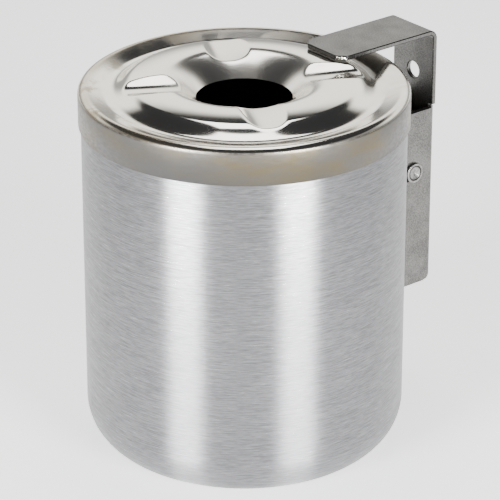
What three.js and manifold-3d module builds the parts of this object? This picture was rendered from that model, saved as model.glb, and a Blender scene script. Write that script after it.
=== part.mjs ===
// Wall-hung ashtray bin: a deep-drawn can with a loose pressed lid, held by a bent steel bracket
// whose arm reaches over the lid. Millimetres, +Z up, +Y into the wall, +X to the lock screw's head.
// The pieces are laid out from the centre of the can's base. The whole group is then moved, so that
// the origin lies on the wall, on the bracket's centre line, level with the lock screw.

import * as THREE from 'three';
import { mergeVertices } from 'three/addons/utils/BufferGeometryUtils.js';
import Module from 'manifold-3d';

const wasm = await Module();
wasm.setup();

// ---- driving dimensions ----
const GAP = 0.3;                    // clearance between neighbouring pieces

const CAN_RADIUS = 66.45;
const CAN_WALL = 1.2;
const CAN_CORNER = 19.2;            // outer radius between the base and the wall
const CAN_MOUTH_Z = 155.9;

const LID_RADIUS = 67.5;
const LID_SHEET = 0.7;
const SKIRT_Z = 142.1;              // lower edge of the skirt
const RIM_Z = 157.5;                // crest of the rolled rim
const RIM_ROLL = 1.9;               // outer radius of the roll
const VALLEY_Z = 155.3;             // floor of the ring-shaped valley inside the rim
const HUMP_Z = 160.2;               // flat top of the raised ring
const HOLE_Z = 152.3;               // lip of the central hole
const HOLE_RADIUS = 19.7;
const HUMP_INNER_RADIUS = 34;       // the funnel ends and the flat top begins
const HUMP_OUTER_RADIUS = 46.5;     // the flat top ends
const VALLEY_INNER_RADIUS = 53.5;
const VALLEY_OUTER_RADIUS = 57;
const GROOVE_COUNT = 4;
const GROOVE_AZIMUTH = 63.3;        // degrees, of the first cigarette rest
const GROOVE_HALF_WIDTH = 9;
const GROOVE_DEPTH = 3.6;
const CREASE = 0.35;                // softness of the edge between groove and raised ring

const SHEET = 2;                    // bracket steel
const STRIP = 25;                   // bracket width
const WALL_Y = 93.6;                 // face of the bracket that lies on the wall
const BEND = 4;                     // outer radius of the bend between arm and plate
const ARM_TIP_Y = 40.6;
const ARM_TOP_Z = 162.7;
const ARM_CHAMFER = 3.6;
const FLANGE_TOP_Z = 128.1;
const FLANGE_BOTTOM_Z = 47.6;
const FLANGE_FRONT_Y = 70;
const FLANGE_BEND = 2.6;            // outer radius between plate and flange
const FLANGE_HEEL = 5.5;            // radius of the flange's lower corner at the wall
const FLANGE_NOSE = 3;              // radius of its front corners
const RELIEF = 1.6;                 // height of the bend relief above each flange
const RELIEF_DEPTH = 2.6;
const WALL_HOLE = 7.2;              // wall screw holes, diameter
const UPPER_HOLE_Z = 141.4;
const LOWER_HOLE_Z = 60;

const SCREW_Y = 82;                 // axis of the lock screw
const SCREW_Z = 100.6;
const SCREW_SHANK = 6;
const SCREW_HEAD = 8.8;
const SCREW_HEAD_HEIGHT = 1.1;
const SCREW_RECESS = 6.2;           // diameter of the turned cone in the head
const SCREW_RECESS_DEPTH = 0.8;
const SCREW_TAIL = 1.5;             // thread standing out of the nut
const NUT_ACROSS_FLATS = 10;
const NUT_HEIGHT = 4;
const SLOT = 6.6;                   // width of the flanges' slots and of the other screw holes

const HANGER_SHEET = 1.5;
const HANGER_WIDTH = 18;
const HANGER_BOTTOM_Z = 56;
const HANGER_TOP_Z = 122;
const HANGER_BACK_Y = 88.9;
const HANGER_HEEL = 10;             // height of the heel that bears on the plate
const HANGER_BEND = 2.2;
const HANGER_CORNER = 4;
const RIVET_HEIGHTS = { upper: 112, lower: 66 };
const RIVET_SHANK = 4.4;
const RIVET_HOLE = 5;
const RIVET_HEAD = 9;
const RIVET_HEAD_HEIGHT = 2;
const RIVET_TAIL = 7.5;
const RIVET_TAIL_HEIGHT = 1.6;
const BACKING_WASHER = { outer: 12, inner: 5, height: 1, backY: 64.5 };
const SHIM_WASHER = { outer: 13, height: 1 };
const SLEEVE_OUTER = 9;

// ---- materials ----
const metal = (color, roughness) => new THREE.MeshStandardMaterial({ color, roughness, metalness: 1 });
const brushedAluminium = () => metal(0xc4c7cb, 0.34);
const polishedSteel = () => metal(0xcfccc4, 0.12);
const mattSteel = () => metal(0x96958f, 0.45);
const turnedSteel = () => metal(0xc8c8c6, 0.2);
const nylon = () => new THREE.MeshStandardMaterial({ color: 0xd9d6cc, roughness: 0.6, metalness: 0 });

// ---- solids ----
const LID_STEPS = 80;               // steps round the lid
const CAN_STEPS = 64;
const SMALL_ROUND = 24;             // steps round holes and fasteners
const LONG = 400;                   // longer than the whole object, for cutting tools

// A closed surface with shared corners and no empty triangles.
function welded(geometry) {
  geometry.deleteAttribute('normal');
  geometry.deleteAttribute('uv');
  const merged = mergeVertices(geometry);
  const index = Array.from(merged.index.array);
  const kept = [];
  for (let i = 0; i < index.length; i += 3) {
    const [a, b, c] = index.slice(i, i + 3);
    if (a !== b && b !== c && c !== a) kept.push(a, b, c);
  }
  merged.setIndex(kept);
  return merged;
}

function solid(geometry) {
  const clean = welded(geometry);
  return new wasm.Manifold(new wasm.Mesh({
    numProp: 3,
    vertProperties: Float32Array.from(clean.attributes.position.array),
    triVerts: Uint32Array.from(clean.index.array),
  }));
}

function geometryOf(manifold) {
  const mesh = manifold.getMesh();
  const geometry = new THREE.BufferGeometry();
  geometry.setAttribute('position', new THREE.BufferAttribute(mesh.vertProperties, 3));
  geometry.setIndex(new THREE.BufferAttribute(mesh.triVerts, 1));
  geometry.computeVertexNormals();
  return geometry;
}

// Turns a profile of [radius, height] points about the Z axis.
function revolved(profile, steps) {
  const points = profile.map(([r, z]) => new THREE.Vector2(r, z));
  return new THREE.LatheGeometry(points, steps).rotateX(Math.PI / 2);
}

// Extrudes a shape drawn in Y and Z across X, centred on x = 0.
function acrossX(shape, width) {
  const toSide = new THREE.Matrix4().makeBasis(
    new THREE.Vector3(0, 1, 0), new THREE.Vector3(0, 0, 1), new THREE.Vector3(1, 0, 0));
  const options = { depth: width, bevelEnabled: false, curveSegments: 8 };
  return new THREE.ExtrudeGeometry(shape, options).applyMatrix4(toSide).translate(-width / 2, 0, 0);
}

// Extrudes a shape drawn in X and Y from one height to another.
function upright(shape, bottom, top) {
  const options = { depth: top - bottom, bevelEnabled: false, curveSegments: 8 };
  return new THREE.ExtrudeGeometry(shape, options).translate(0, 0, bottom);
}

function rodAlongX(diameter, x, y, z, length) {
  return new THREE.CylinderGeometry(diameter / 2, diameter / 2, length, SMALL_ROUND)
    .rotateZ(Math.PI / 2).translate(x, y, z);
}

function rodAlongY(diameter, x, y, z, length) {
  return new THREE.CylinderGeometry(diameter / 2, diameter / 2, length, SMALL_ROUND).translate(x, y, z);
}

// Points on an arc in a profile, from one angle to another in degrees.
function arc(centreR, centreZ, radius, from, to, steps) {
  return Array.from({ length: steps + 1 }, (_, i) => {
    const angle = THREE.MathUtils.degToRad(from + (to - from) * i / steps);
    return [centreR + radius * Math.cos(angle), centreZ + radius * Math.sin(angle)];
  });
}

// A closed outline with rounded corners, from [x, y, corner radius] rows.
function roundedOutline(corners) {
  const shape = new THREE.Shape();
  corners.forEach(([x, y, radius], i) => {
    const here = new THREE.Vector2(x, y);
    const [before, after] = [corners.at(i - 1), corners[(i + 1) % corners.length]]
      .map(([nx, ny]) => here.clone().add(new THREE.Vector2(nx - x, ny - y).setLength(radius)));
    if (i === 0) shape.moveTo(before.x, before.y);
    else shape.lineTo(before.x, before.y);
    if (radius > 0) shape.quadraticCurveTo(x, y, after.x, after.y);
  });
  shape.closePath();
  return shape;
}

// A U-shaped section seen from above: a web with an arm along +Y or -Y at each edge.
function channelSection(width, sheet, webOuterY, edgeY, bend) {
  const side = Math.sign(edgeY - webOuterY);
  const half = width / 2;
  const inner = half - sheet;
  const webInnerY = webOuterY + side * sheet;
  const innerBend = Math.max(bend - sheet, 0);
  return roundedOutline([
    [-half, edgeY, 0], [-half, webOuterY, bend], [half, webOuterY, bend], [half, edgeY, 0],
    [inner, edgeY, 0], [inner, webInnerY, innerBend], [-inner, webInnerY, innerBend], [-inner, edgeY, 0],
  ]);
}

// ---- can ----
function canBody() {
  const inner = CAN_RADIUS - CAN_WALL;
  const flat = CAN_RADIUS - CAN_CORNER;
  const cornerSteps = 7;
  const profile = [
    [0, 0],
    ...arc(flat, CAN_CORNER, CAN_CORNER, -90, 0, cornerSteps),
    [CAN_RADIUS, CAN_MOUTH_Z],
    [inner, CAN_MOUTH_Z],
    ...arc(flat, CAN_CORNER, CAN_CORNER - CAN_WALL, 0, -90, cornerSteps),
    [0, CAN_WALL],
  ];
  let body = solid(revolved(profile, CAN_STEPS));
  for (const z of Object.values(RIVET_HEIGHTS)) {
    body = body.subtract(solid(rodAlongY(RIVET_HOLE, 0, CAN_RADIUS, z, 4 * CAN_WALL)));
  }
  return geometryOf(body);
}

// ---- lid ----
const blend = (value, low, high) => THREE.MathUtils.smoothstep(value, low, high);

// Height of the lid's top face before the cigarette rests are pressed in.
function ringHeight(radius) {
  if (radius < HUMP_INNER_RADIUS) {
    const share = (radius - HOLE_RADIUS) / (HUMP_INNER_RADIUS - HOLE_RADIUS);
    return HOLE_Z + (HUMP_Z - HOLE_Z) * Math.sin(share * Math.PI / 2);
  }
  const outward = blend(radius, HUMP_OUTER_RADIUS, VALLEY_INNER_RADIUS);
  const rise = blend(radius, VALLEY_OUTER_RADIUS, LID_RADIUS - RIM_ROLL);
  return HUMP_Z + (VALLEY_Z - HUMP_Z) * outward + (RIM_Z - VALLEY_Z) * rise;
}

// Depth of the rests below that face: each is a round-bottomed trough with a level floor.
function restDepth(radius, azimuth, height) {
  const pitch = 2 * Math.PI / GROOVE_COUNT;
  const turned = azimuth - THREE.MathUtils.degToRad(GROOVE_AZIMUTH);
  const offAxis = turned - pitch * Math.round(turned / pitch);
  const sideways = radius * Math.sin(offAxis) / GROOVE_HALF_WIDTH;
  const trough = HUMP_Z - GROOVE_DEPTH * (1 - sideways ** 2);
  return CREASE * Math.log(1 + Math.exp((height - trough) / CREASE));
}

function lid() {
  const rimCentre = [LID_RADIUS - RIM_ROLL, RIM_Z - RIM_ROLL];
  const bands = [
    [HOLE_RADIUS, HUMP_INNER_RADIUS, 5], [HUMP_INNER_RADIUS, HUMP_OUTER_RADIUS, 2],
    [HUMP_OUTER_RADIUS, VALLEY_INNER_RADIUS, 3], [VALLEY_INNER_RADIUS, VALLEY_OUTER_RADIUS, 1],
    [VALLEY_OUTER_RADIUS, rimCentre[0], 3],
  ];
  const radii = bands.flatMap(([from, to, steps]) =>
    Array.from({ length: steps }, (_, i) => from + (to - from) * i / steps));
  const top = [...radii, rimCentre[0]].map((r) => [r, ringHeight(r)]);
  const under = top.slice(0, -1).map(([r, z]) => [r, z - LID_SHEET]);
  const profile = [
    ...under,
    ...arc(...rimCentre, RIM_ROLL - LID_SHEET, 90, 0, 3),
    [LID_RADIUS - LID_SHEET, SKIRT_Z],
    [LID_RADIUS, SKIRT_Z],
    ...arc(...rimCentre, RIM_ROLL, 0, 90, 4),
    ...top.slice(0, -1).reverse(),
    under[0],
  ];
  const geometry = revolved(profile, LID_STEPS);
  const position = geometry.attributes.position;
  for (let i = 0; i < position.count; i += 1) {
    const x = position.getX(i);
    const y = position.getY(i);
    const radius = Math.hypot(x, y);
    if (radius < VALLEY_OUTER_RADIUS) {
      const sunk = restDepth(radius, Math.atan2(y, x), ringHeight(radius));
      position.setZ(i, position.getZ(i) - sunk);
    }
  }
  return geometryOf(solid(geometry));
}

// ---- wall bracket ----
function armAndPlate() {
  const side = new THREE.Shape();
  side.moveTo(ARM_TIP_Y, ARM_TOP_Z);
  side.absarc(WALL_Y - BEND, ARM_TOP_Z - BEND, BEND, Math.PI / 2, 0, true);
  side.lineTo(WALL_Y, FLANGE_TOP_Z);
  side.lineTo(WALL_Y - SHEET, FLANGE_TOP_Z);
  side.absarc(WALL_Y - BEND, ARM_TOP_Z - BEND, BEND - SHEET, 0, Math.PI / 2, false);
  side.lineTo(ARM_TIP_Y, ARM_TOP_Z - SHEET);
  const half = STRIP / 2;
  const plan = roundedOutline([
    [-half, WALL_Y + 1, 0], [-half, ARM_TIP_Y + ARM_CHAMFER, 0],
    [ARM_CHAMFER - half, ARM_TIP_Y, 0], [half - ARM_CHAMFER, ARM_TIP_Y, 0],
    [half, ARM_TIP_Y + ARM_CHAMFER, 0], [half, WALL_Y + 1, 0],
  ]);
  return solid(acrossX(side, STRIP)).intersect(solid(upright(plan, 0, LONG)));
}

function flangedChannel() {
  const section = channelSection(STRIP, SHEET, WALL_Y, FLANGE_FRONT_Y, FLANGE_BEND);
  const outline = roundedOutline([
    [FLANGE_FRONT_Y, FLANGE_BOTTOM_Z, FLANGE_NOSE], [WALL_Y, FLANGE_BOTTOM_Z, FLANGE_HEEL],
    [WALL_Y, FLANGE_TOP_Z, 0], [FLANGE_FRONT_Y, FLANGE_TOP_Z, FLANGE_NOSE],
  ]);
  const plateEnd = new THREE.BoxGeometry(STRIP - 2 * SHEET, 2 * SHEET, FLANGE_HEEL)
    .translate(0, WALL_Y, FLANGE_BOTTOM_Z + FLANGE_HEEL / 2);
  return solid(upright(section, FLANGE_BOTTOM_Z, FLANGE_TOP_Z))
    .intersect(solid(acrossX(outline, STRIP + 1)))
    .subtract(solid(plateEnd));
}

function wallBracket() {
  let bracket = armAndPlate().add(flangedChannel());
  for (const side of [-1, 1]) {
    const relief = new THREE.BoxGeometry(2 * RELIEF_DEPTH, 2 * SHEET + 1, RELIEF)
      .translate(side * STRIP / 2, WALL_Y - SHEET / 2, FLANGE_TOP_Z + RELIEF / 2);
    bracket = bracket.subtract(solid(relief));
  }
  for (const z of [UPPER_HOLE_Z, LOWER_HOLE_Z]) {
    bracket = bracket.subtract(solid(rodAlongY(WALL_HOLE, 0, WALL_Y, z, 4 * SHEET)));
  }
  const slotLength = SCREW_Y - FLANGE_FRONT_Y + 1;
  const slot = new THREE.BoxGeometry(LONG, slotLength, SLOT)
    .translate(0, SCREW_Y - slotLength / 2, SCREW_Z);
  bracket = bracket
    .subtract(solid(slot))
    .subtract(solid(rodAlongX(SLOT, 0, SCREW_Y, SCREW_Z, LONG)));
  return geometryOf(bracket);
}

// ---- hanger riveted to the back of the can ----
function hangerChannel() {
  const front = CAN_RADIUS + GAP;
  const heelY = WALL_Y - SHEET - GAP;
  const section = channelSection(HANGER_WIDTH, HANGER_SHEET, front, heelY, HANGER_BEND);
  const heelTop = HANGER_BOTTOM_Z + HANGER_HEEL;
  const outline = roundedOutline([
    [front - 1, HANGER_BOTTOM_Z, 0], [heelY, HANGER_BOTTOM_Z, HANGER_CORNER / 2],
    [heelY, heelTop, 1], [HANGER_BACK_Y, heelTop + 2, 0],
    [HANGER_BACK_Y, HANGER_TOP_Z, HANGER_CORNER], [front - 1, HANGER_TOP_Z, 0],
  ]);
  let hanger = solid(upright(section, HANGER_BOTTOM_Z, HANGER_TOP_Z))
    .intersect(solid(acrossX(outline, HANGER_WIDTH + 1)))
    .subtract(solid(rodAlongX(SLOT, 0, SCREW_Y, SCREW_Z, LONG)));
  for (const z of Object.values(RIVET_HEIGHTS)) {
    hanger = hanger.subtract(solid(rodAlongY(RIVET_HOLE, 0, front, z, 4 * HANGER_SHEET)));
  }
  return geometryOf(hanger);
}

// ---- fasteners, each turned about its own Z axis ----
// A dome of the given height over a flat disc, as profile points from rim to axis.
function dome(diameter, baseZ, height) {
  const radius = diameter / 2;
  const sphere = (radius ** 2 + height ** 2) / (2 * height);
  const half = THREE.MathUtils.radToDeg(Math.asin(radius / sphere));
  return arc(0, baseZ + height - sphere, sphere, 90 - half, 90, 4);
}

// The rivet's factory head is up and its set tail is down; z = 0 is the underside of the head.
function rivet() {
  const grip = CAN_RADIUS + GAP + HANGER_SHEET - (BACKING_WASHER.backY - BACKING_WASHER.height) + 2 * GAP;
  const tail = dome(RIVET_TAIL, grip, RIVET_TAIL_HEIGHT).map(([r, z]) => [r, -z]).reverse();
  const profile = [
    ...tail,
    [RIVET_SHANK / 2, -grip],
    [RIVET_SHANK / 2, 0],
    ...dome(RIVET_HEAD, 0, RIVET_HEAD_HEIGHT),
  ];
  return geometryOf(solid(revolved(profile, SMALL_ROUND)));
}

function washer(outer, inner, height) {
  const profile = [
    [inner / 2, 0], [outer / 2, 0], [outer / 2, height], [inner / 2, height], [inner / 2, 0],
  ];
  return geometryOf(solid(revolved(profile, SMALL_ROUND)));
}

// z = 0 is the underside of the head, with the recess on top.
function lockScrew() {
  const length = STRIP + 2 * GAP + NUT_HEIGHT + SCREW_TAIL;
  const edge = 0.4;
  const profile = [
    [0, -length], [SCREW_SHANK / 2 - edge, -length], [SCREW_SHANK / 2, edge - length],
    [SCREW_SHANK / 2, 0], [SCREW_HEAD / 2, 0],
    ...arc(SCREW_HEAD / 2 - edge, SCREW_HEAD_HEIGHT - edge, edge, 0, 90, 2),
    [SCREW_RECESS / 2, SCREW_HEAD_HEIGHT],
    [0, SCREW_HEAD_HEIGHT - SCREW_RECESS_DEPTH],
  ];
  return geometryOf(solid(revolved(profile, SMALL_ROUND)));
}

function lockNut() {
  const corner = NUT_ACROSS_FLATS / Math.sqrt(3);
  const chamfer = 0.6;
  const prism = new THREE.CylinderGeometry(corner, corner, NUT_HEIGHT, 6)
    .rotateX(Math.PI / 2).translate(0, 0, NUT_HEIGHT / 2);
  const turned = revolved([
    [0, 0], [corner + chamfer, 0], [corner + chamfer, NUT_HEIGHT - 2 * chamfer],
    [corner - chamfer, NUT_HEIGHT], [0, NUT_HEIGHT],
  ], SMALL_ROUND);
  const bore = new THREE.CylinderGeometry(SLOT / 2, SLOT / 2, LONG, SMALL_ROUND).rotateX(Math.PI / 2);
  return geometryOf(solid(prism).intersect(solid(turned)).subtract(solid(bore)));
}

// ---- assembly ----
const ashtray = new THREE.Group();
ashtray.position.set(0, -WALL_Y, -SCREW_Z);

function place(parent, name, geometry, material, x = 0, y = 0, z = 0) {
  const mesh = new THREE.Mesh(geometry, material);
  mesh.name = name;
  mesh.position.set(x, y, z);
  parent.add(mesh);
}

// Pieces on the screw's axis are turned so that their own +Z points along +X.
const onScrewAxis = new THREE.Group();
onScrewAxis.position.set(0, SCREW_Y, SCREW_Z);
onScrewAxis.rotation.y = Math.PI / 2;
ashtray.add(onScrewAxis);

place(ashtray, 'wall_bracket', wallBracket(), mattSteel());
place(ashtray, 'can_body', canBody(), brushedAluminium());
place(ashtray, 'lid', lid(), polishedSteel());
place(ashtray, 'hanger_channel', hangerChannel(), mattSteel());

// Pieces on the rivets' axes are turned so that their own +Z points to the wall.
for (const [level, z] of Object.entries(RIVET_HEIGHTS)) {
  const onRivetAxis = new THREE.Group();
  onRivetAxis.position.set(0, 0, z);
  onRivetAxis.rotation.x = -Math.PI / 2;
  ashtray.add(onRivetAxis);
  const headY = CAN_RADIUS + HANGER_SHEET + 2 * GAP;
  const { outer, inner, height, backY } = BACKING_WASHER;
  place(onRivetAxis, `rivet_${level}`, rivet(), turnedSteel(), 0, 0, headY);
  place(onRivetAxis, `backing_washer_${level}`, washer(outer, inner, height), mattSteel(),
    0, 0, backY - height);
}

const earOuter = HANGER_WIDTH / 2;
const flangeOuter = STRIP / 2;
const sleeveLength = HANGER_WIDTH - 2 * HANGER_SHEET - 2 * GAP;
const shimInset = (flangeOuter - SHEET - earOuter - SHIM_WASHER.height) / 2;
place(onScrewAxis, 'lock_screw', lockScrew(), turnedSteel(), 0, 0, flangeOuter + GAP / 2);
place(onScrewAxis, 'lock_nut', lockNut(), turnedSteel(), 0, 0, -flangeOuter - GAP - NUT_HEIGHT);
place(onScrewAxis, 'spacer_sleeve', washer(SLEEVE_OUTER, SLOT, sleeveLength), turnedSteel(),
  0, 0, -sleeveLength / 2);
place(onScrewAxis, 'shim_washer_right', washer(SHIM_WASHER.outer, SLOT, SHIM_WASHER.height), nylon(),
  0, 0, earOuter + shimInset);
place(onScrewAxis, 'shim_washer_left', washer(SHIM_WASHER.outer, SLOT, SHIM_WASHER.height), nylon(),
  0, 0, -earOuter - shimInset - SHIM_WASHER.height);

export default ashtray;
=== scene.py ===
"""Wall-hung ashtray bin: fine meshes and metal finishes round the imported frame.

Metres, +Z up, +Y into the wall. Lengths written in millimetres are multiplied by MM, and the can's
pieces are laid out from the centre of the can's base, whose place comes from the frame.
"""
import math

import bmesh
import bpy
import numpy as np
from mathutils import Matrix, Vector

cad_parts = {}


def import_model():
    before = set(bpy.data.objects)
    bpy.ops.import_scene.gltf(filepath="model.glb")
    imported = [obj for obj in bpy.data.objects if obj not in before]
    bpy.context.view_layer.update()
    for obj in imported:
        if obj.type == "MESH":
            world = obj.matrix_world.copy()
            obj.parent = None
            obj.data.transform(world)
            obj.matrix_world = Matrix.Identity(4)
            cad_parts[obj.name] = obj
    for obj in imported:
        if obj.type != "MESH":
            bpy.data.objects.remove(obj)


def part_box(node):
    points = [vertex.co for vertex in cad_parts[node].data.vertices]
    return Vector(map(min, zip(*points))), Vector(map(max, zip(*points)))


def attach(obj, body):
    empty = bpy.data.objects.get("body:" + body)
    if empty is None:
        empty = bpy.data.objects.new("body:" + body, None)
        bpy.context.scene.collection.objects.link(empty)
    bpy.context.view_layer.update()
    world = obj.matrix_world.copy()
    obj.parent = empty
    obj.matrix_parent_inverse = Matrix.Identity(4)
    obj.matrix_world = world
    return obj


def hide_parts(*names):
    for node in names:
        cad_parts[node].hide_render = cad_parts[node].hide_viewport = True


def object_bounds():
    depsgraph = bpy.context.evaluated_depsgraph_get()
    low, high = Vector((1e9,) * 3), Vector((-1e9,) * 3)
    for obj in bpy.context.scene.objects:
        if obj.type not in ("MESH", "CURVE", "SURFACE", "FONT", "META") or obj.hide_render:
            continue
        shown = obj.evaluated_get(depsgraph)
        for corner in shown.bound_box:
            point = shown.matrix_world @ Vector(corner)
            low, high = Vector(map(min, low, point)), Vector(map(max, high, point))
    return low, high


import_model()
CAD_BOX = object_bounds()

MM = 0.001


def box_centre(node):
    low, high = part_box(node)
    return (low + high) / 2


# ---- places and sizes from the frame ----
CAN_LOW, CAN_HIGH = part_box("can_body")
CAN_BASE = Vector(((CAN_LOW.x + CAN_HIGH.x) / 2, (CAN_LOW.y + CAN_HIGH.y) / 2, CAN_LOW.z))
CAN_RADIUS = (CAN_HIGH.x - CAN_LOW.x) / 2
CAN_HEIGHT = CAN_HIGH.z - CAN_LOW.z
LID_LOW, LID_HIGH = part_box("lid")
LID_RADIUS = (LID_HIGH.x - LID_LOW.x) / 2
SKIRT_Z = LID_LOW.z - CAN_BASE.z
BRACKET_LOW, BRACKET_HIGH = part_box("wall_bracket")
HANGER_LOW, HANGER_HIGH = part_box("hanger_channel")
SCREW_AXIS = box_centre("spacer_sleeve")
RIVETS = ("upper", "lower")
SIDES = ("left", "right")

# ---- sheet-metal dimensions that the boxes don't give ----
CAN_WALL = 1.2 * MM
CAN_LIP = 0.35 * MM
CAN_CORNER = 19.2 * MM
LID_SHEET = 0.7 * MM
LID_HEM = 0.3 * LID_SHEET           # rounding of the skirt's cut edge
RIM_Z = 157.5 * MM                  # this and the other heights on the can and lid are from its base
RIM_ROLL = 2.8 * MM
VALLEY_Z = 155.3 * MM
VALLEY_BEND = 0.35                  # share of the slope from the ring that bends over at each end
RIM_BEND = 0.15                     # and of the slope up to the rim
CREST_Z = 160.7 * MM                # top of the raised ring round the funnel
CREST_RADIUS = 34 * MM
SHOULDER_DROP = 1.45 * MM           # fall of the dome from the crest out to the shoulder
SHOULDER_RADIUS = 48.5 * MM
SHOULDER_BEND = 2.5 * MM            # how far inside the shoulder the fall to the valley begins
HOLE_Z = 152.3 * MM
HOLE_RADIUS = 19.7 * MM
VALLEY_INNER_RADIUS = 55.5 * MM
VALLEY_OUTER_RADIUS = 56 * MM
GROOVE_COUNT = 4
GROOVE_AZIMUTH = math.radians(63.3)
GROOVE_HALF_WIDTH = 9 * MM
GROOVE_DEPTH = 2.9 * MM
GROOVE_FALL = 0.025                 # slope of a rest's floor down towards the hole
GROOVE_POWER = 2.6                  # 2 would be a parabola across a rest, more is flatter
CREASE = 0.24 * MM                  # softness of the line where a rest meets the ring
STAIN_AZIMUTH = math.radians(215)   # the side of the lid with most heat and smoke stains

SHEET = 2 * MM
BEND = 4 * MM
ARM_CHAMFER = 3.6 * MM
FLANGE_HEIGHT = 80.5 * MM
FLANGE_FRONT = 23.6 * MM            # from the wall
FLANGE_BEND = 2.6 * MM
FLANGE_HEEL = 5.5 * MM
FLANGE_NOSE = 3 * MM
RELIEF = 1.0 * MM                   # height of the slits that free the flanges from the strip
RELIEF_DEPTH = 2.6 * MM
WALL_HOLE = 7.2 * MM
UPPER_HOLE_Z = 141.4 * MM
LOWER_HOLE_Z = 60 * MM
SLOT = 6.6 * MM
EDGE = 0.4 * MM                     # rounding of sheared sheet edges
FACE, SHEARED, GLINTING, ROUNDED = range(4)   # the bracket's material slots

HANGER_SHEET = 1.5 * MM
HANGER_BACK = 4.7 * MM              # from the wall, above the heel
HANGER_HEEL = 10 * MM
HANGER_SLOPE = 2 * MM               # height of the slope from the heel to the back
HANGER_BEND = 2.2 * MM
HANGER_CORNER = 4 * MM
HANGER_NOTCH = 1 * MM               # corner where the heel ends
HANGER_EDGE = 0.2 * MM
RIVET_SHANK = 4.4 * MM
RIVET_HOLE = 5 * MM
RECESS_RADIUS = 3.1 * MM            # of the lock screw's head

# ---- points round each kind of round mesh, and what counts as one point or as sharp ----
CAN_STEPS = 192
LID_STEPS = 360
LID_RINGS = 96
SCREW_STEPS = 96
RING_STEPS = 64
RIVET_STEPS = 48
HOLE_STEPS = 48
ON_AXIS = 1e-4 * MM                 # a smaller radius makes a single point
WELD = 0.002 * MM                   # points this close after a boolean are merged
SHARP_EDGE = math.radians(30)       # round_edges takes edges that turn by more than this


# ---- outlines ----
def fillet(corners, steps=5):
    """An outline through (a, b, radius) corners, each rounded by an arc."""
    points = []
    for i, (a, b, radius) in enumerate(corners):
        here = Vector((a, b))
        back = (Vector(corners[i - 1][:2]) - here).normalized()
        ahead = (Vector(corners[(i + 1) % len(corners)][:2]) - here).normalized()
        if radius == 0:
            points.append((a, b))
            continue
        half = back.angle(ahead) / 2
        centre = here + (back + ahead).normalized() * radius / math.sin(half)
        start = here + back * radius / math.tan(half) - centre
        end = here + ahead * radius / math.tan(half) - centre
        first = math.atan2(start.y, start.x)
        sweep = (math.atan2(end.y, end.x) - first + math.pi) % (2 * math.pi) - math.pi
        for k in range(steps + 1):
            angle = first + sweep * k / steps
            points.append((centre.x + radius * math.cos(angle), centre.y + radius * math.sin(angle)))
    return points


def arc(centre_a, centre_b, radius, start, end, steps):
    """Points along an arc between two angles in degrees."""
    angles = [math.radians(start + (end - start) * k / steps) for k in range(steps + 1)]
    return [(centre_a + radius * math.cos(t), centre_b + radius * math.sin(t)) for t in angles]


# ---- meshes ----
def mesh_object(name, points, faces):
    mesh = bpy.data.meshes.new(name)
    mesh.from_pydata([tuple(p) for p in points], [], faces)
    mesh.validate()
    obj = bpy.data.objects.new(name, mesh)
    bpy.context.scene.collection.objects.link(obj)
    return obj


def shade(obj, angle=35):
    """Smooth shading, with edges sharper than the angle kept crisp."""
    obj.data.shade_smooth()
    obj.data.set_sharp_from_angle(angle=math.radians(angle))
    return obj


def ring_faces(row, next_row):
    """Quads between two closed rows of vertex numbers, or triangles where a row is one pole."""
    count = max(len(row), len(next_row))
    faces = []
    for i in range(count):
        j = (i + 1) % count
        if len(row) == 1:
            faces.append((row[0], next_row[j], next_row[i]))
        elif len(next_row) == 1:
            faces.append((row[i], row[j], next_row[0]))
        else:
            faces.append((row[i], row[j], next_row[j], next_row[i]))
    return faces


def revolved(name, profile, steps, to_place, closed=False):
    """Turns a profile of (radius, height) points about Z and moves it by a matrix.

    A closed profile ends where it began, as a washer's does. An open one begins and ends on the axis.
    """
    points, rows = [], []
    for radius, height in profile:
        start = len(points)
        if radius < ON_AXIS:
            points.append(to_place @ Vector((0, 0, height)))
        else:
            for i in range(steps):
                t = 2 * math.pi * i / steps
                points.append(to_place @ Vector((radius * math.cos(t), radius * math.sin(t), height)))
        rows.append(list(range(start, len(points))))
    pairs = list(zip(rows, rows[1:])) + ([(rows[-1], rows[0])] if closed else [])
    faces = [face for row, following in pairs for face in ring_faces(row, following)]
    return mesh_object(name, points, faces)


def prism(name, outline, low, high, to_place):
    """An outline drawn in two axes, extruded along the third from low to high."""
    count = len(outline)
    points = [to_place(a, b, low) for a, b in outline] + [to_place(a, b, high) for a, b in outline]
    faces = [tuple(range(count))[::-1], tuple(range(count, 2 * count))]
    faces += [(i, (i + 1) % count, count + (i + 1) % count, count + i) for i in range(count)]
    obj = mesh_object(name, points, faces)
    cleaned = bmesh.new()
    cleaned.from_mesh(obj.data)
    bmesh.ops.recalc_face_normals(cleaned, faces=cleaned.faces)
    cleaned.to_mesh(obj.data)
    cleaned.free()
    return obj


def across(y, z, x):
    """Places an outline drawn in Y and Z, extruded along X."""
    return (x, y, z)


def upright(x, y, z):
    """Places an outline drawn in X and Y, extruded along Z."""
    return (x, y, z)


def cut(obj, operation, *tools):
    """Applies boolean tools to obj, cleans the seams up and removes the tools."""
    for tool in tools:
        modifier = obj.modifiers.new("cut", "BOOLEAN")
        modifier.operation = operation
        modifier.solver = "EXACT"
        modifier.object = tool
    graph = bpy.context.evaluated_depsgraph_get()
    made = bpy.data.meshes.new_from_object(obj.evaluated_get(graph))
    obj.modifiers.clear()
    obj.data = made
    cleaned = bmesh.new()
    cleaned.from_mesh(made)
    bmesh.ops.remove_doubles(cleaned, verts=cleaned.verts, dist=WELD)
    bmesh.ops.dissolve_degenerate(cleaned, edges=cleaned.edges, dist=WELD)
    cleaned.to_mesh(made)
    cleaned.free()
    for tool in tools:
        bpy.data.objects.remove(tool)
    return obj


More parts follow.
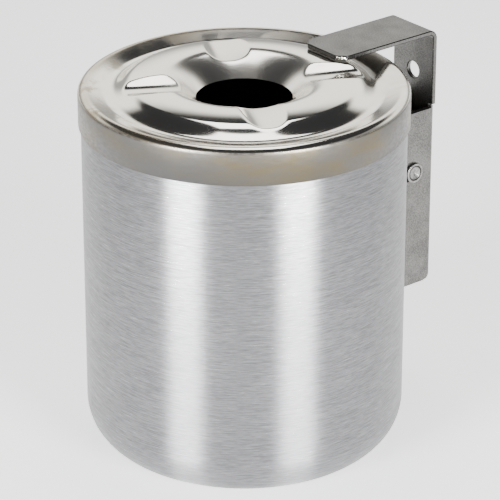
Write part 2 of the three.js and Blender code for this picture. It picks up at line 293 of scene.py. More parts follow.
def round_edges(obj, width, material=-1, left_sharp=lambda middle: False):
    """A small bevel on sheared edges, in a material slot of its own if one is given.

    Edges whose middle is in the left_sharp region stay as they are.
    """
    edges = bmesh.new()
    edges.from_mesh(obj.data)
    weight = edges.edges.layers.float.new("bevel_weight_edge")
    for edge in edges.edges:
        sharp = len(edge.link_faces) == 2 and edge.calc_face_angle() > SHARP_EDGE
        if sharp and not left_sharp((edge.verts[0].co + edge.verts[1].co) / 2):
            edge[weight] = 1.0
    edges.to_mesh(obj.data)
    edges.free()
    modifier = obj.modifiers.new("edge", "BEVEL")
    modifier.width = width
    modifier.segments = 2
    modifier.limit_method = "WEIGHT"
    modifier.use_clamp_overlap = False
    modifier.harden_normals = True
    modifier.material = material
    return obj


def turned_to(axis, centre):
    """A matrix that turns Z to the X or Y axis, with its origin at the centre."""
    turn = Matrix.Rotation(math.pi / 2, 4, "Y") if axis == "X" else Matrix.Rotation(-math.pi / 2, 4, "X")
    return Matrix.Translation(centre) @ turn


def rod(name, axis, centre, diameter, length):
    """A plain round cutter along an axis."""
    radius, end = diameter / 2, length / 2
    profile = [(0, -end), (radius, -end), (radius, end), (0, end)]
    return revolved(name, profile, HOLE_STEPS, turned_to(axis, centre))


def block(name, low, high):
    """A box cutter between two corners."""
    outline = [(low[0], low[1]), (high[0], low[1]), (high[0], high[1]), (low[0], high[1])]
    return prism(name, outline, low[2], high[2], upright)


def finish_piece(obj, node, body, slot, *materials):
    """The piece takes its materials, stands for its CAD node and rides on its body."""
    obj.data.materials.clear()
    for material in materials:
        obj.data.materials.append(material)
    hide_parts(node)
    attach(obj, body)
    return obj


# ---- materials ----
class Nodes:
    """Short calls that add nodes to a material's or the world's tree."""

    # The Mix node's socket names repeat, so these are numbers: first, second and result.
    COLOUR_MIX = (6, 7, 2)
    FLOAT_MIX = (2, 3, 0)

    def __init__(self, tree, coordinates):
        """The coordinates are an output of the Texture Coordinate node, such as Object."""
        self.tree = tree
        self.place = self.node("ShaderNodeTexCoord").outputs[coordinates]

    def node(self, kind, **settings):
        made = self.tree.nodes.new(kind)
        for key, value in settings.items():
            setattr(made, key, value)
        return made

    def link(self, source, target):
        self.tree.links.new(source, target)

    def put(self, value, socket):
        """Sets a socket to a number or an (r, g, b) colour, or links it to another node's output."""
        if isinstance(value, tuple):
            socket.default_value = (*value, 1)
        elif isinstance(value, (int, float)):
            socket.default_value = value
        else:
            self.link(value, socket)

    def ranged(self, source, low, high, to_low=0.0, to_high=1.0):
        """Eases from to_low to to_high as the source goes from low to high, and stays there."""
        made = self.node("ShaderNodeMapRange", interpolation_type="SMOOTHSTEP")
        names = ("Value", "From Min", "From Max", "To Min", "To Max")
        for name, value in zip(names, (source, low, high, to_low, to_high)):
            self.put(value, made.inputs[name])
        return made.outputs["Result"]

    def math(self, operation, first, second=0.0):
        made = self.node("ShaderNodeMath", operation=operation)
        self.put(first, made.inputs[0])
        self.put(second, made.inputs[1])
        return made.outputs["Value"]

    def product(self, first, second):
        return self.math("MULTIPLY", first, second)

    def mix(self, share, first, second, data_type="RGBA"):
        """Goes from the first to the second as the share goes from 0 to 1."""
        made = self.node("ShaderNodeMix", data_type=data_type)
        first_socket, second_socket, result = self.COLOUR_MIX if data_type == "RGBA" else self.FLOAT_MIX
        self.put(share, made.inputs["Factor"])
        self.put(first, made.inputs[first_socket])
        self.put(second, made.inputs[second_socket])
        return made.outputs[result]

    def towards(self, direction):
        """How far a place lies in a direction from the origin."""
        made = self.node("ShaderNodeVectorMath", operation="DOT_PRODUCT")
        made.inputs[1].default_value = direction
        self.link(self.place, made.inputs[0])
        return made.outputs["Value"]


class Shader(Nodes):
    """A principled material laid out in metres of the object's own coordinates."""

    def __init__(self, name, **inputs):
        self.material = bpy.data.materials.new(name)
        self.material.use_nodes = True
        super().__init__(self.material.node_tree, "Object")
        self.surface = self.tree.nodes["Principled BSDF"]
        for key, value in inputs.items():
            self.surface.inputs[key.replace("_", " ")].default_value = value

    def feed(self, name, source):
        self.link(source, self.surface.inputs[name])

    def noise(self, scale, detail=2.0, roughness=0.5, distortion=0.0):
        """Noise with about scale spots to the metre, on each axis its own where three are given."""
        mapping = self.node("ShaderNodeMapping")
        mapping.inputs["Scale"].default_value = scale if isinstance(scale, tuple) else (scale,) * 3
        self.link(self.place, mapping.inputs["Vector"])
        made = self.node("ShaderNodeTexNoise")
        made.inputs["Scale"].default_value = 1.0
        made.inputs["Detail"].default_value = detail
        made.inputs["Roughness"].default_value = roughness
        made.inputs["Distortion"].default_value = distortion
        self.link(mapping.outputs["Vector"], made.inputs["Vector"])
        return made.outputs["Fac"]

    def two_scales(self, fine, coarse, fine_share):
        """Fine and coarse noise together, in shares that add up to 1."""
        shares = self.product(fine, fine_share), self.product(coarse, 1 - fine_share)
        return self.math("ADD", *shares)

    def axis(self, name):
        split = self.node("ShaderNodeSeparateXYZ")
        self.link(self.place, split.inputs[0])
        return split.outputs[name]

    def radius_about(self, first, second, centre):
        """Distance from an axis through the centre, in the plane of two named axes."""
        offsets = [self.math("SUBTRACT", self.axis(n), c) for n, c in zip((first, second), centre)]
        squares = [self.product(d, d) for d in offsets]
        return self.math("SQRT", self.math("ADD", *squares))

    def bump(self, source, height, strength, under=None):
        made = self.node("ShaderNodeBump")
        made.inputs["Strength"].default_value = strength
        made.inputs["Distance"].default_value = height
        self.link(source, made.inputs["Height"])
        if under is not None:
            self.link(under, made.inputs["Normal"])
        return made.outputs["Normal"]

    def brushed_about(self, axis, strength):
        """Stretches highlights across marks that run round an axis."""
        tangent = self.node("ShaderNodeTangent", direction_type="RADIAL", axis=axis)
        self.surface.inputs["Anisotropic"].default_value = strength
        self.surface.inputs["Anisotropic Rotation"].default_value = 0.25    # a quarter turn
        self.feed("Tangent", tangent.outputs["Tangent"])


def brushed_aluminium():
    """Drawn aluminium with fine streaks that run round the can."""
    m = Shader("brushed_aluminium", Metallic=1.0)
    fine = m.noise((240, 240, 4500), detail=3, roughness=0.65)
    coarse = m.noise((80, 80, 3200), detail=2)
    streaks = m.two_scales(fine, coarse, 0.6)
    tone = m.ranged(streaks, 0.3, 0.7)
    m.feed("Base Color", m.mix(tone, (0.148, 0.150, 0.156), (0.330, 0.333, 0.342)))
    m.feed("Roughness", m.ranged(streaks, 0.3, 0.7, 0.36, 0.27))
    m.brushed_about("Z", 1.0)
    m.feed("Normal", m.bump(streaks, 0.07 * MM, 0.6))
    return m.material


def shaded_inside_aluminium():
    """The can's inside, near-black with a faint mottle: painted shade of the closed can's inside."""
    m = Shader("shaded_inside_aluminium", Metallic=0.6)
    inside_mottle = m.noise(60, detail=4, roughness=0.65)
    tone = m.ranged(inside_mottle, 0.3, 0.7)
    m.feed("Base Color", m.mix(tone, (0.020, 0.020, 0.021), (0.07, 0.068, 0.065)))
    m.feed("Roughness", m.ranged(inside_mottle, 0.3, 0.7, 0.75, 0.5))
    m.feed("Normal", m.bump(m.noise(900, detail=3), 0.05 * MM, 0.5))
    return m.material


def lid_steel():
    """Polished on top, satin on the skirt, with warm stains on both and most of them on one side. The
    skirt's base colour, far darker than the top's, is painted shade.
    """
    m = Shader("polished_steel", Metallic=1.0)
    radius = m.radius_about("X", "Y", CAN_BASE[:2])
    sideways = m.towards((math.cos(STAIN_AZIMUTH), math.sin(STAIN_AZIMUTH), 0))
    cloud = m.noise(21, detail=2)

    # the skirt: low enough and far enough out; it starts up on the rim's roll, where its dark colour paints
    # the dark line under the rim's highlight
    rim = CAN_BASE.z + RIM_Z
    below_rim = m.ranged(m.axis("Z"), rim - 2.0 * MM, rim - 1.3 * MM, 1.0, 0.0)
    far_out = m.ranged(radius, LID_RADIUS - 1.6 * MM, LID_RADIUS - 0.6 * MM)
    skirt = m.product(below_rim, far_out)

    # stains on top: blotches near the rim and in the funnel, and a rubbed band along the rim
    outward = m.ranged(radius, 46 * MM, 66 * MM)
    inward = m.ranged(radius, 20 * MM, 33 * MM, 0.45, 0.0)
    toward = m.ranged(sideways, 0.0, 120 * MM, 0.35, 1.0)
    place = m.product(m.math("ADD", outward, inward), toward)
    blotches = m.noise(42, detail=5, roughness=0.62, distortion=0.8)
    spots = m.product(m.ranged(blotches, 0.44, 0.62), place)
    band = m.product(m.ranged(radius, 60 * MM, 65 * MM, 0.0, 0.85), m.ranged(cloud, 0.35, 0.6, 0.4, 1.0))
    rubbed = m.product(band, m.ranged(sideways, -20 * MM, 90 * MM, 0.25, 1.0))
    stain = m.math("MAXIMUM", spots, rubbed)
    metal = m.mix(stain, (0.82, 0.79, 0.72), (0.40, 0.34, 0.245))

    # the skirt's satin steel, its base colour far darker than the top's as painted shade: warm patches, and
    # greyer ones over them
    patches = m.noise((55, 55, 170), detail=4, roughness=0.6)
    warm = m.mix(m.ranged(patches, 0.4, 0.62), (0.113, 0.104, 0.087), (0.124, 0.103, 0.066))
    shaded_satin = m.mix(m.ranged(cloud, 0.42, 0.62, 0.0, 0.7), warm, (0.084, 0.086, 0.090))
    m.feed("Base Color", m.mix(skirt, metal, shaded_satin))

    scuffs = m.noise((500, 500, 900), detail=3)
    dull = m.ranged(radius, 26 * MM, 40 * MM, 0.21, 0.10)
    polish = m.math("ADD", dull, m.product(stain, 0.14))
    brushed = m.ranged(scuffs, 0.3, 0.7, 0.30, 0.42)
    m.feed("Roughness", m.mix(skirt, polish, brushed, data_type="FLOAT"))
    waves = m.bump(m.noise(70, detail=0), 0.06 * MM, 0.3)
    m.feed("Normal", m.bump(m.product(scuffs, skirt), 0.02 * MM, 0.5, under=waves))
    return m.material


def matt_steel():
    """Rolled stainless sheet with a fine mottled grain."""
    m = Shader("matt_steel", Metallic=1.0)
    grain = m.noise(1900, detail=3, roughness=0.7)
    mottling = m.two_scales(grain, m.noise(110, detail=3), 0.75)
    tone = m.ranged(mottling, 0.33, 0.67)
    m.feed("Base Color", m.mix(tone, (0.075, 0.073, 0.069), (0.195, 0.191, 0.182)))
    m.feed("Roughness", m.ranged(mottling, 0.3, 0.7, 0.40, 0.28))
    m.feed("Normal", m.bump(grain, 0.04 * MM, 0.35))
    return m.material


def cut_steel(name, dark, light):
    """Sheared or rounded edges of the sheet, with fine marks."""
    m = Shader(name, Metallic=1.0)
    marks = m.noise((2600, 2600, 900), detail=2)
    m.feed("Base Color", m.mix(m.ranged(marks, 0.3, 0.7), dark, light))
    m.feed("Roughness", m.ranged(marks, 0.3, 0.7, 0.34, 0.24))
    m.feed("Normal", m.bump(marks, 0.01 * MM, 0.3))
    return m.material


def glinting_corner_steel():
    """The arm's cut corners, in a base colour far brighter than the sheet's: a painted glint."""
    m = Shader("glinting_corner_steel", Metallic=1.0)
    dents = m.noise(700, detail=2)
    m.feed("Base Color", m.mix(m.ranged(dents, 0.35, 0.65), (0.80, 0.78, 0.70), (0.95, 0.93, 0.87)))
    m.feed("Roughness", m.ranged(dents, 0.3, 0.7, 0.16, 0.08))
    m.feed("Normal", m.bump(dents, 0.6 * MM, 1.0))
    return m.material


def turned_steel():
    """Bright turned steel with fine rings about the X axis of the lock screw, and a near-black ring of
    painted shade at the edge of its recess.
    """
    m = Shader("turned_steel", Metallic=1.0)
    radius = m.radius_about("Y", "Z", (SCREW_AXIS.y, SCREW_AXIS.z))
    ring_pitch = 0.22 * MM
    rings = m.math("SINE", m.product(radius, 2 * math.pi / ring_pitch))
    wear = m.noise(900, detail=2)
    turned_tone = m.mix(m.ranged(wear, 0.3, 0.7), (0.17, 0.168, 0.162), (0.30, 0.297, 0.29))
    # painted shade: a near-black ring in the crease at the recess's edge
    off_groove = m.math("ABSOLUTE", m.math("SUBTRACT", radius, RECESS_RADIUS))
    recess_edge_shade = m.ranged(off_groove, 0.15 * MM, 0.5 * MM, 1.0, 0.0)
    m.feed("Base Color", m.mix(recess_edge_shade, turned_tone, (0.03, 0.029, 0.027)))
    m.feed("Roughness", m.ranged(wear, 0.3, 0.7, 0.24, 0.14))
    m.brushed_about("X", 0.6)
    m.feed("Normal", m.bump(rings, 0.006 * MM, 0.6))
    return m.material


def nylon():
    """Off-white moulded plastic."""
    m = Shader("nylon", Subsurface_Weight=0.15)
    cloud = m.noise(400, detail=3)
    m.feed("Base Color", m.mix(m.ranged(cloud, 0.3, 0.7), (0.66, 0.63, 0.54), (0.80, 0.78, 0.70)))
    m.feed("Roughness", m.ranged(cloud, 0.3, 0.7, 0.45, 0.62))
    m.feed("Normal", m.bump(m.noise(2500, detail=2), 0.02 * MM, 0.4))
    return m.material


# ---- can ----
def can_body(outside, inside):
    inner = CAN_RADIUS - CAN_WALL
    flat = CAN_RADIUS - CAN_CORNER
    lip_z = CAN_HEIGHT - CAN_LIP
    profile = [
        (0, 0), (flat * 0.5, 0),
        *arc(flat, CAN_CORNER, CAN_CORNER, -90, 0, steps=28),
        (CAN_RADIUS, CAN_HEIGHT * 0.5),
        *arc(CAN_RADIUS - CAN_LIP, lip_z, CAN_LIP, 0, 90, steps=3),
        *arc(inner + CAN_LIP, lip_z, CAN_LIP, 90, 180, steps=3),
        (inner, CAN_HEIGHT * 0.5),
        *arc(flat, CAN_CORNER, CAN_CORNER - CAN_WALL, 0, -90, steps=20),
        (flat * 0.5, CAN_WALL), (0, CAN_WALL),
    ]
    can = revolved("can_shell", profile, CAN_STEPS, Matrix.Translation(CAN_BASE))
    holes = []
    for level in RIVETS:
        middle = box_centre(f"rivet_{level}")
        centre = (middle.x, CAN_BASE.y + CAN_RADIUS, middle.z)
        holes.append(rod("hole", "Y", centre, RIVET_HOLE, 6 * CAN_WALL))
    cut(can, "DIFFERENCE", *holes)
    finish_piece(shade(can), "can_body", "can", "brushed_aluminium", outside, inside)
    # The inside faces take the near-black material, painted shade of the closed can.
    for face in can.data.polygons:
        off_axis = face.center - CAN_BASE
        faces_axis = face.normal.dot(Vector((off_axis.x, off_axis.y, 0))) < 0
        on_bottom = face.normal.z > 0.5 and off_axis.z < CAN_CORNER
        face.material_index = int(faces_axis or on_bottom)


# ---- lid ----
def ramp(value, low, high, bend):
    """Rises from 0 to 1 in a straight slope whose ends bend over a share of the way."""
    t = np.clip((value - low) / (high - low), 0, 1)
    foot = t ** 2 / (2 * bend)
    head = 1 - bend - (1 - t) ** 2 / (2 * bend)
    return np.where(t < bend, foot, np.where(t > 1 - bend, head, t - bend / 2)) / (1 - bend)


def ring_height(radius):
    """Height of the lid's top face before the cigarette rests are pressed in."""
    share = np.clip((radius - HOLE_RADIUS) / (CREST_RADIUS - HOLE_RADIUS), 0, 1)
    height = HOLE_Z + (CREST_Z - HOLE_Z) * np.sin(share * math.pi / 2)
    outward = np.clip((radius - CREST_RADIUS) / (SHOULDER_RADIUS - CREST_RADIUS), 0, None)
    height -= SHOULDER_DROP * outward ** 2
    fall = ramp(radius, SHOULDER_RADIUS - SHOULDER_BEND, VALLEY_INNER_RADIUS, VALLEY_BEND)
    rise = ramp(radius, VALLEY_OUTER_RADIUS, LID_RADIUS - RIM_ROLL, RIM_BEND)
    height += (VALLEY_Z - height) * fall
    return height + (RIM_Z - VALLEY_Z) * rise


def rest_depth(radius, azimuth, height):
    """Depth of the rests below that face: four round-bottomed troughs falling towards the hole."""
    pitch = 2 * math.pi / GROOVE_COUNT
    turned = azimuth - GROOVE_AZIMUTH
    off_axis = turned - pitch * np.round(turned / pitch)
    sideways = radius * np.sin(off_axis) / GROOVE_HALF_WIDTH
    floor_height = CREST_Z - GROOVE_DEPTH + GROOVE_FALL * (radius - CREST_RADIUS)
    trough = floor_height + GROOVE_DEPTH * np.abs(sideways) ** GROOVE_POWER
    return CREASE * np.logaddexp(0, (height - trough) / CREASE)


def lid_top(radius, azimuth):
    """Height of the lid's top face, rests included."""
    height = ring_height(radius)
    within = radius < VALLEY_OUTER_RADIUS
    return np.where(within, height - rest_depth(radius, azimuth, height), height)


def lid(material):
    # Each ring is a radius, a height and a depth below it. With no height it follows the top face.
    rim_radius = LID_RADIUS - RIM_ROLL
    skirt_inside = LID_RADIUS - LID_SHEET
    radii = np.linspace(HOLE_RADIUS, rim_radius, LID_RINGS)
    top = [(r, None, 0.0) for r in radii]
    under = [(r, None, LID_SHEET) for r in radii[::-2]]
    outer = arc(rim_radius, RIM_Z - RIM_ROLL, RIM_ROLL, 90, 0, steps=12)[1:]
    inner = arc(rim_radius, RIM_Z - RIM_ROLL, RIM_ROLL - LID_SHEET, 0, 90, steps=8)[:-1]
    hem = [
        (LID_RADIUS, SKIRT_Z + LID_HEM), (LID_RADIUS - LID_HEM, SKIRT_Z),
        (skirt_inside + LID_HEM, SKIRT_Z), (skirt_inside, SKIRT_Z + LID_HEM),
    ]
    rings = top + [(r, z, 0.0) for r, z in [*outer, *hem, *inner]] + under
    azimuth = np.arange(LID_STEPS) * 2 * math.pi / LID_STEPS
    points, rows = [], []
    for radius, height, below in rings:
        if height is None:
            heights = lid_top(np.full(LID_STEPS, radius), azimuth) - below
        else:
            heights = np.full(LID_STEPS, height)
        start = len(points)
        points += [
            (CAN_BASE.x + radius * math.cos(t), CAN_BASE.y + radius * math.sin(t), CAN_BASE.z + h)
            for t, h in zip(azimuth, heights)
        ]
        rows.append(list(range(start, start + LID_STEPS)))
    faces = [face[::-1] for a, b in zip(rows, rows[1:] + rows[:1]) for face in ring_faces(a, b)]
    made = mesh_object("lid_shell", points, faces)
    finish_piece(shade(made, angle=50), "lid", "lid", "polished_steel", material)


# ---- wall bracket ----
def channel_section(width, sheet, web_y, edge_y, bend):
    """A U seen from above: a web with a side at each end that runs to edge_y."""
    half, inner = width / 2, width / 2 - sheet
    inside = web_y + sheet if edge_y > web_y else web_y - sheet
    inner_bend = bend - sheet
    return fillet([
        (-half, edge_y, 0), (-half, web_y, bend), (half, web_y, bend), (half, edge_y, 0),
        (inner, edge_y, 0), (inner, inside, inner_bend), (-inner, inside, inner_bend), (-inner, edge_y, 0),
    ])


def arm_and_plate():
    """The strip from the arm's tip, which is the bracket's furthest point from the wall, to the flanges."""
    tip, wall = BRACKET_LOW.y, BRACKET_HIGH.y
    top, bottom = BRACKET_HIGH.z, BRACKET_LOW.z + FLANGE_HEIGHT
    half = (BRACKET_HIGH.x - BRACKET_LOW.x) / 2
    side = fillet([
        (tip, top, 0), (wall, top, BEND), (wall, bottom, 0),
        (wall - SHEET, bottom, 0), (wall - SHEET, top - SHEET, BEND - SHEET), (tip, top - SHEET, 0),
    ], steps=10)
    strip = prism("wall_bracket_sheet", side, -half, half, across)
    c = ARM_CHAMFER
    plan = [
        (-half - SHEET, wall + SHEET), (-half - SHEET, tip + c + SHEET), (c - half, tip),
        (half - c, tip), (half + SHEET, tip + c + SHEET), (half + SHEET, wall + SHEET),
    ]
    trim = prism("trim", plan, bottom - SHEET, top + SHEET, upright)
    return cut(strip, "INTERSECT", trim)


def flanged_channel():
    """The plate's lower part with a flange at each side, its plate ending above the flanges' heels."""
    wall, low = BRACKET_HIGH.y, BRACKET_LOW.z
    high, front = low + FLANGE_HEIGHT, wall - FLANGE_FRONT
    width = BRACKET_HIGH.x - BRACKET_LOW.x
    section = channel_section(width, SHEET, wall, front, FLANGE_BEND)
    channel = prism("channel", section, low, high, upright)
    outline = fillet([
        (front, low, FLANGE_NOSE), (wall, low, FLANGE_HEEL), (wall, high, 0), (front, high, FLANGE_NOSE),
    ], steps=8)
    cut(channel, "INTERSECT", prism("outline", outline, -width, width, across))
    inner = width / 2 - SHEET
    lowest, highest = (-inner, wall - 2 * SHEET, low - SHEET), (inner, wall + SHEET, low + FLANGE_HEEL)
    return cut(channel, "DIFFERENCE", block("plate_end", lowest, highest))


def wall_bracket(*materials):
    """Takes a material for each of the bracket's slots, in their order."""
    wall, half = BRACKET_HIGH.y, (BRACKET_HIGH.x - BRACKET_LOW.x) / 2
    relief_low = BRACKET_LOW.z + FLANGE_HEIGHT
    bracket = cut(arm_and_plate(), "UNION", flanged_channel())
    tools = []
    for side in (-1, 1):
        left, right = sorted((side * (half - RELIEF_DEPTH), side * (half + SHEET)))
        low = (left, wall - 2 * SHEET, relief_low)
        high = (right, wall + SHEET, relief_low + RELIEF)
        tools.append(block("relief", low, high))
    for height in (UPPER_HOLE_Z, LOWER_HOLE_Z):
        centre = (0, wall, CAN_BASE.z + height)
        tools.append(rod("hole", "Y", centre, WALL_HOLE, 4 * SHEET))
    slot_start, slot_end = wall - FLANGE_FRONT - SHEET, SCREW_AXIS.y + SLOT / 2
    slot_low, slot_high = SCREW_AXIS.z - SLOT / 2, SCREW_AXIS.z + SLOT / 2
    slot_round = SLOT / 2 * 0.999       # a full half would put two points in one place
    slot = fillet([
        (slot_start, slot_low, 0), (slot_end, slot_low, slot_round),
        (slot_end, slot_high, slot_round), (slot_start, slot_high, 0),
    ], steps=10)
    tools.append(prism("slot", slot, -2 * half, 2 * half, across))
    cut(bracket, "DIFFERENCE", *tools)
    split_level(bracket, relief_low + RELIEF / 2)
    round_edges(shade(bracket), EDGE, material=ROUNDED, left_sharp=in_heel)
    finish_piece(bracket, "wall_bracket", "bracket", "matt_steel", *materials)
    mark_cut_faces(bracket)


def in_heel(point):
    """Where the flanges bend out of the plate, beside its holes, and leave edges too short to round."""
    low = point.z < BRACKET_LOW.z + FLANGE_HEIGHT + RELIEF / 2
    near_wall = point.y > BRACKET_HIGH.y - FLANGE_BEND - EDGE
    return low and near_wall and abs(point.x) > WALL_HOLE


def split_level(obj, z):
    """Parts flat faces that cross a height, so that each side can take its own material."""
    parted = bmesh.new()
    parted.from_mesh(obj.data)
    geometry = parted.verts[:] + parted.edges[:] + parted.faces[:]
    bmesh.ops.bisect_plane(parted, geom=geometry, plane_co=(0, 0, z), plane_no=(0, 0, 1))
    parted.to_mesh(obj.data)
    parted.free()


def mark_cut_faces(bracket):
    """Gives the sheared faces and the arm's cut corners their own materials, the corners' a painted glint.
    """
    half = (BRACKET_HIGH.x - BRACKET_LOW.x) / 2
    flange_top = BRACKET_LOW.z + FLANGE_HEIGHT
    for face in bracket.data.polygons:
        centre, normal = face.center, face.normal
        sideways = abs(centre.x)
        on_side = abs(normal.x) > 0.99 and sideways > half - EDGE and centre.z > flange_top
        at_tip = normal.y < -0.5 and centre.y < BRACKET_LOW.y + ARM_CHAMFER
        on_corner = at_tip and abs(normal.x) > 0.5
        flange_end = abs(normal.z) > 0.9 and centre.z < flange_top + EDGE and sideways > half - SHEET
        sheared = on_side or at_tip or flange_end
        face.material_index = GLINTING if on_corner else SHEARED if sheared else FACE


# ---- hanger and fasteners ----
def hanger_channel(material):
    front, heel = HANGER_LOW.y, HANGER_HIGH.y
    low, high = HANGER_LOW.z, HANGER_HIGH.z
    width = HANGER_HIGH.x - HANGER_LOW.x
    back = BRACKET_HIGH.y - HANGER_BACK
    section = channel_section(width, HANGER_SHEET, front, heel, HANGER_BEND)
    hanger = prism("hanger_sheet", section, low, high, upright)
    heel_top = low + HANGER_HEEL
    outline = fillet([
        (front - SHEET, low, 0), (heel, low, HANGER_CORNER / 2), (heel, heel_top, HANGER_NOTCH),
        (back, heel_top + HANGER_SLOPE, 0), (back, high, HANGER_CORNER), (front - SHEET, high, 0),
    ])
    cut(hanger, "INTERSECT", prism("outline", outline, -width, width, across))
    tools = [rod("hole", "X", SCREW_AXIS, SLOT, 4 * width)]
    for level in RIVETS:
        middle = box_centre(f"rivet_{level}")
        tools.append(rod("hole", "Y", (middle.x, front, middle.z), RIVET_HOLE, 6 * HANGER_SHEET))
    cut(hanger, "DIFFERENCE", *tools)
    round_edges(shade(hanger), HANGER_EDGE)
    finish_piece(hanger, "hanger_channel", "can", "matt_steel", material)


def along(axis, low, high, from_high=True):
    """A matrix that turns Z to an axis and puts z = 0 at the box's high or low face."""
    start = (low + high) / 2
    end = high if from_high else low
    if axis == "X":
        start.x = end.x
    else:
        start.y = end.y
    return turned_to(axis, start)


def ring_piece(node, made_how, axis, inner, body, slot, material):
    """A washer or sleeve that fills its CAD node's box, with softened edges."""
    name = f"{node}_{made_how}"
    low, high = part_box(node)
    size = high - low
    length = size.x if axis == "X" else size.y
    outer = size.z / 2
    edge, bore = min(0.15 * MM, length / 6), inner / 2
    profile = fillet([(bore, 0, edge), (outer, 0, edge), (outer, length, edge), (bore, length, edge)])
    place = along(axis, low, high, from_high=False)
    made = revolved(name, profile, RING_STEPS, place, closed=True)
    finish_piece(shade(made), node, body, slot, material)


def rivet(level, material):
    """A domed head on the hanger's side, and a smaller domed tail inside the can."""
    node = f"rivet_{level}"
    low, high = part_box(node)
    head, head_height = (high.x - low.x) / 2, 2 * MM
    tail, tail_height = 3.75 * MM, 1.6 * MM
    length = high.y - low.y
    head_sphere = (head ** 2 + head_height ** 2) / (2 * head_height)
    tail_sphere = (tail ** 2 + tail_height ** 2) / (2 * tail_height)
    head_half = math.degrees(math.asin(head / head_sphere))
    tail_half = math.degrees(math.asin(tail / tail_sphere))
    profile = [
        *arc(0, tail_sphere - length, tail_sphere, -90, tail_half - 90, steps=8),
        (RIVET_SHANK / 2, tail_height - length),
        (RIVET_SHANK / 2, -head_height),
        *arc(0, -head_sphere, head_sphere, 90 - head_half, 90, steps=8),
    ]
    made = revolved(f"{node}_turned", profile, RIVET_STEPS, along("Y", low, high))
    finish_piece(shade(made), node, "can", "turned_steel", material)


def lock_screw(material):
    """A low round head with a shallow conical recess, and a plain shank."""
    low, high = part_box("lock_screw")
    head, head_height, shank = (high.z - low.z) / 2, 1.1 * MM, 3 * MM
    recess, recess_depth, edge = RECESS_RADIUS, 0.8 * MM, 0.3 * MM
    length = high.x - low.x
    profile = [
        (0, -length), (shank - edge, -length), (shank, edge - length), (shank, -head_height),
        (head, -head_height),
        *arc(head - edge, -edge, edge, 0, 90, steps=5),
        (recess + 0.15 * MM, 0), (recess, -0.05 * MM), (recess * 0.5, -recess_depth * 0.5),
        (0.3 * MM, -recess_depth * 0.92), (0, -recess_depth),
    ]
    made = revolved("lock_screw_turned", profile, SCREW_STEPS, along("X", low, high))
    finish_piece(shade(made, angle=25), "lock_screw", "screw", "turned_steel", material)


def lock_nut(material):
    """A hexagon whose ends are chamfered by a turned shape, with a plain bore."""
    low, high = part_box("lock_nut")
    height, corner = high.x - low.x, (high.y - low.y) / 2
    place = along("X", low, high, from_high=False)
    corner_on_y = Matrix.Rotation(math.pi / 6, 4, "Z")
    plain = [(0, 0), (corner, 0), (corner, height), (0, height)]
    hexagon = revolved("lock_nut_hex", plain, 6, place @ corner_on_y)
    chamfer = 0.6 * MM
    wide = corner + chamfer
    chamfered = [
        (0, 0), (corner - chamfer / 2, 0), (wide, chamfer), (wide, height - chamfer),
        (corner - chamfer, height), (0, height),
    ]
    cut(hexagon, "INTERSECT", revolved("turned", chamfered, RING_STEPS, place))
    cut(hexagon, "DIFFERENCE", rod("bore", "X", box_centre("lock_nut"), SLOT, 4 * height))
    finish_piece(shade(hexagon), "lock_nut", "can", "turned_steel", material)


def build_object():
    sheet, bright = matt_steel(), turned_steel()
    sheared = cut_steel("sheared_steel", (0.09, 0.088, 0.083), (0.135, 0.132, 0.126))
    # near-black rounded edges: painted shade lines along the sheet's edges
    edges = cut_steel("edge_shade_steel", (0.030, 0.029, 0.028), (0.055, 0.054, 0.052))
    plastic = nylon()
    wall_bracket(sheet, sheared, glinting_corner_steel(), edges)
    can_body(brushed_aluminium(), shaded_inside_aluminium())
    lid(lid_steel())
    hanger_channel(sheet)
    for level in RIVETS:
        rivet(level, bright)
        ring_piece(f"backing_washer_{level}", "turned", "Y", RIVET_HOLE, "can", "matt_steel", sheet)
    ring_piece("spacer_sleeve", "turned", "X", SLOT, "can", "turned_steel", bright)
    for side in SIDES:
        ring_piece(f"shim_washer_{side}", "moulded", "X", SLOT, "can", "nylon", plastic)
    lock_screw(bright)
    lock_nut(bright)


# ---- stage, light and camera ----
VIEW_AZIMUTH = 51.15                # degrees; 0 looks along +Y
VIEW_PITCH = 24.99                  # degrees below the horizon
VIEW_DISTANCE = 1.2433
LENS = 216                          # mm on a 36 mm sensor
AIM_Z = -16.9 * MM
AIM_RIGHT = 2.3 * MM                # of the can's axis, as the camera sees it
FLOOR_SIZE = 6.0
FLOOR_DROP = 0.4 * MM               # below the can, so that the two don't share a plane


def view_axes():
    """Where the camera looks, its right, and where it looks if it is held level."""
    a, p = math.radians(VIEW_AZIMUTH), math.radians(VIEW_PITCH)
    level = Vector((-math.sin(a), math.cos(a), 0))
    forward = level * math.cos(p) - Vector((0, 0, math.sin(p)))
    right = Vector((math.cos(a), math.sin(a), 0))
    return forward, right, level


def camera():
    forward, right, _ = view_axes()
    aim = Vector((CAN_BASE.x, CAN_BASE.y, AIM_Z)) + right * AIM_RIGHT
    data = bpy.data.cameras.new("camera")
    data.lens = LENS
    data.clip_start, data.clip_end = 0.05, 50
    made = bpy.data.objects.new("camera", data)
    made.location = aim - forward * VIEW_DISTANCE
    made.rotation_euler = forward.to_track_quat("-Z", "Y").to_euler()
    bpy.context.scene.collection.objects.link(made)
    bpy.context.scene.camera = made


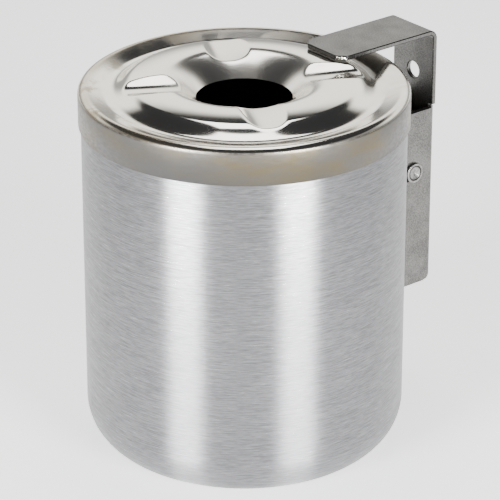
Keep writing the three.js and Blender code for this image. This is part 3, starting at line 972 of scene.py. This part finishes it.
def softbox(name, turn, elevation, distance, width, height, power):
    """An area light aimed at the bin's middle, turned about it from the camera's side in degrees."""
    a, e = math.radians(VIEW_AZIMUTH + turn), math.radians(elevation)
    away = Vector((math.sin(a) * math.cos(e), -math.cos(a) * math.cos(e), math.sin(e)))
    data = bpy.data.lights.new(name, "AREA")
    data.shape = "RECTANGLE"
    data.size, data.size_y = width, height
    data.energy = power
    made = bpy.data.objects.new(name, data)
    centre = (CAD_BOX[0] + CAD_BOX[1]) / 2
    made.location = centre + away * distance
    made.rotation_euler = (-away).to_track_quat("-Z", "Y").to_euler()
    bpy.context.scene.collection.objects.link(made)


def world():
    """Pale surroundings, brightest well above the horizon beyond the bin, that end in a dark ceiling."""
    made = bpy.data.worlds.new("studio")
    bpy.context.scene.world = made
    made.use_nodes = True
    n = Nodes(made.node_tree, "Generated")
    level = view_axes()[2]
    # Each threshold is the cosine of an angle from the direction named.
    height = n.towards((0, 0, 1))
    beyond = n.mix(n.ranged(height, 0.12, 0.34), (0.55, 0.545, 0.53), (2.25, 2.23, 2.13))
    on_far_side = n.ranged(n.towards((level.x, level.y, 0)), 0.15, 0.6)
    around = n.mix(on_far_side, (0.35, 0.35, 0.35), beyond)
    below_ceiling = n.ranged(n.towards((0, 0, -1)), -0.60, -0.47)
    sky = n.mix(below_ceiling, (0.042, 0.043, 0.047), around)
    n.link(sky, n.tree.nodes["Background"].inputs["Color"])


def floor():
    """A pale, faintly glowing floor."""
    z = CAN_BASE.z - FLOOR_DROP
    corners = [(x * FLOOR_SIZE, y * FLOOR_SIZE, z) for x, y in ((-1, -1), (1, -1), (1, 1), (-1, 1))]
    made = mesh_object("floor", corners, [(0, 1, 2, 3)])
    m = Shader("pale_floor", Roughness=0.9)
    m.feed("Base Color", m.mix(m.noise(3, detail=2), (0.80, 0.80, 0.80), (0.83, 0.83, 0.83)))
    m.surface.inputs["Emission Color"].default_value = (1, 1, 1, 1)
    m.surface.inputs["Emission Strength"].default_value = 1.2
    made.data.materials.append(m.material)


build_object()
camera()
world()
floor()
softbox("left_softbox", turn=-40, elevation=9, distance=1.6, width=0.58, height=0.5, power=81)
softbox("right_softbox", turn=35.5, elevation=9, distance=1.6, width=0.62, height=0.5, power=83)
softbox("top_softbox", turn=180, elevation=75, distance=1.0, width=0.45, height=0.7, power=4.8)
